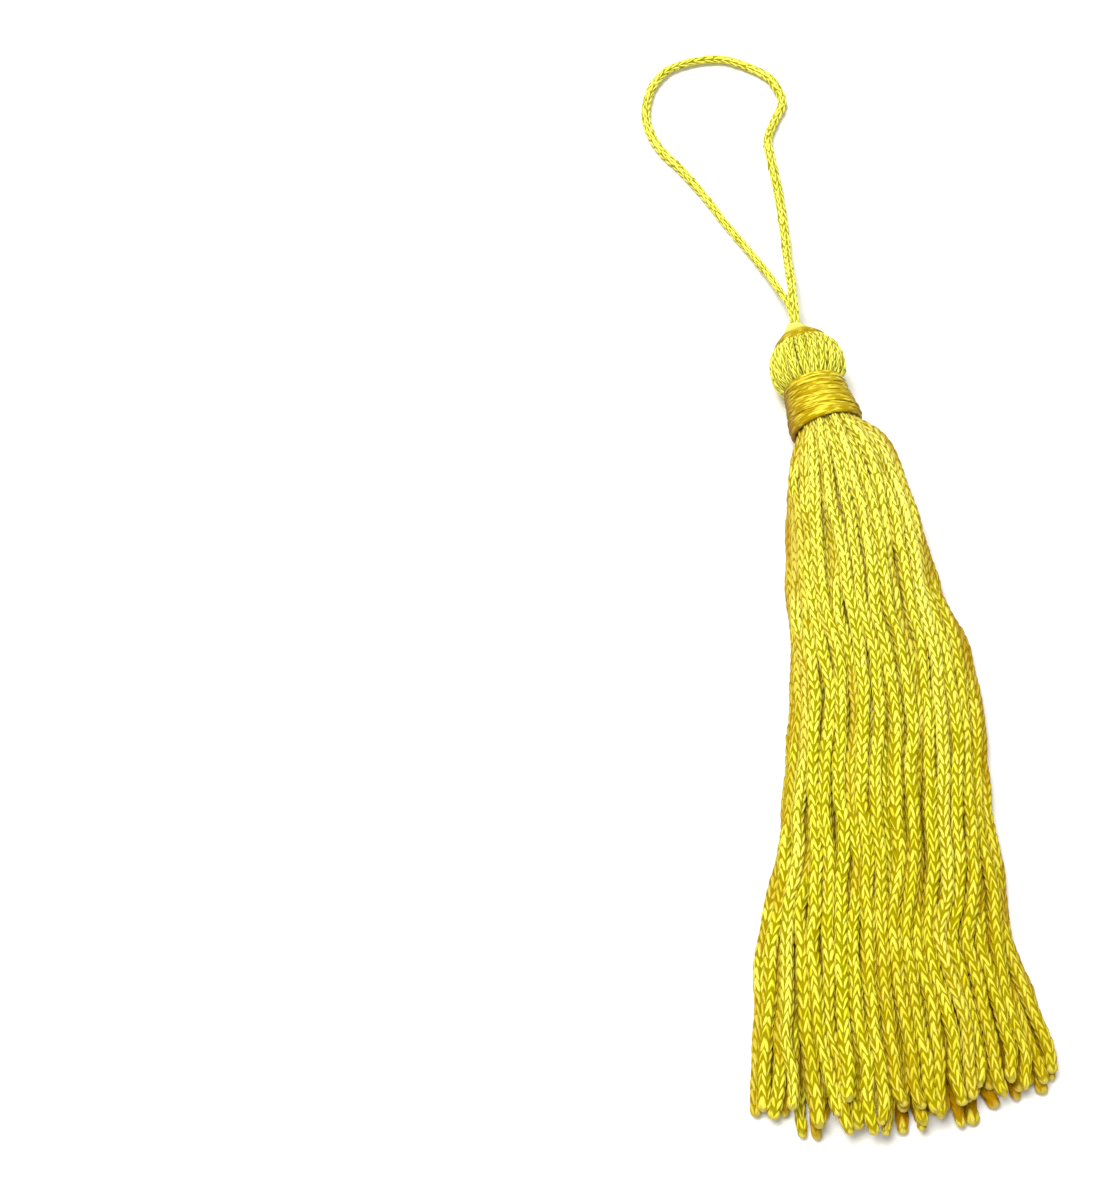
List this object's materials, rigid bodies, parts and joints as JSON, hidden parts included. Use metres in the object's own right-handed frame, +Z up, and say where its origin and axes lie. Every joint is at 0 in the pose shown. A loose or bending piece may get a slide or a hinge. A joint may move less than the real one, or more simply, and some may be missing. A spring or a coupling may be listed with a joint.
{
  "type": "silk tassel",
  "caption": "Lemon-yellow chainette tassel lying on its side, with a rounded head of folded cords, satin floss bindings at neck and crown, a fanned skirt and a hanging loop.",
  "frame": {"origin": "on the surface that the tassel lies on, below the middle of the tassel without its loop", "axes": "+Y along the tassel from the hem to the crown, +Z up from the surface, +X to the right"},
  "size_m": [0.0539, 0.1859, 0.0119],
  "materials": {
    "viscose_cord": "knitted viscose chainette, silky",
    "satin_floss": "wound viscose floss, satin"
  },
  "bodies": {
    "root": {"cord_hank": "viscose_cord", "neck_binding": "satin_floss", "crown_binding": "satin_floss", "hanging_loop": "viscose_cord"}
  },
  "joints": []
}
